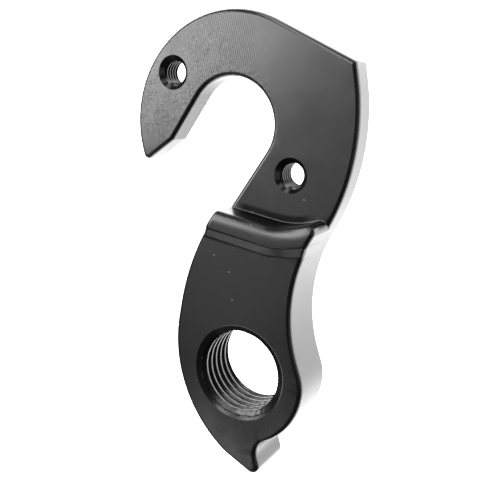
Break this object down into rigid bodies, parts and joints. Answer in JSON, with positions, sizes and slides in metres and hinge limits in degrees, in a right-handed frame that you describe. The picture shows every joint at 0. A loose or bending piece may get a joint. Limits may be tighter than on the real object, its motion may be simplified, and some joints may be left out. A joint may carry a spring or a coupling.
{
  "type": "bicycle derailleur hanger",
  "caption": "Milled aluminium derailleur hanger: hooked plate with an axle slot, tapped screw holes and a thick lower arm with a tapped derailleur bolt hole and stop tab.",
  "frame": {"origin": "on the derailleur bolt's axis, at the flat back face", "axes": "+Z along the bolt's axis, out of the front face; +Y from the bolt to the wheel axle"},
  "size_m": [0.0267, 0.0503, 0.0068],
  "materials": {
    "black_anodised": "black anodised, satin gloss over fine milling marks"
  },
  "bodies": {
    "root": {"derailleur_hanger": "black_anodised"}
  },
  "joints": []
}
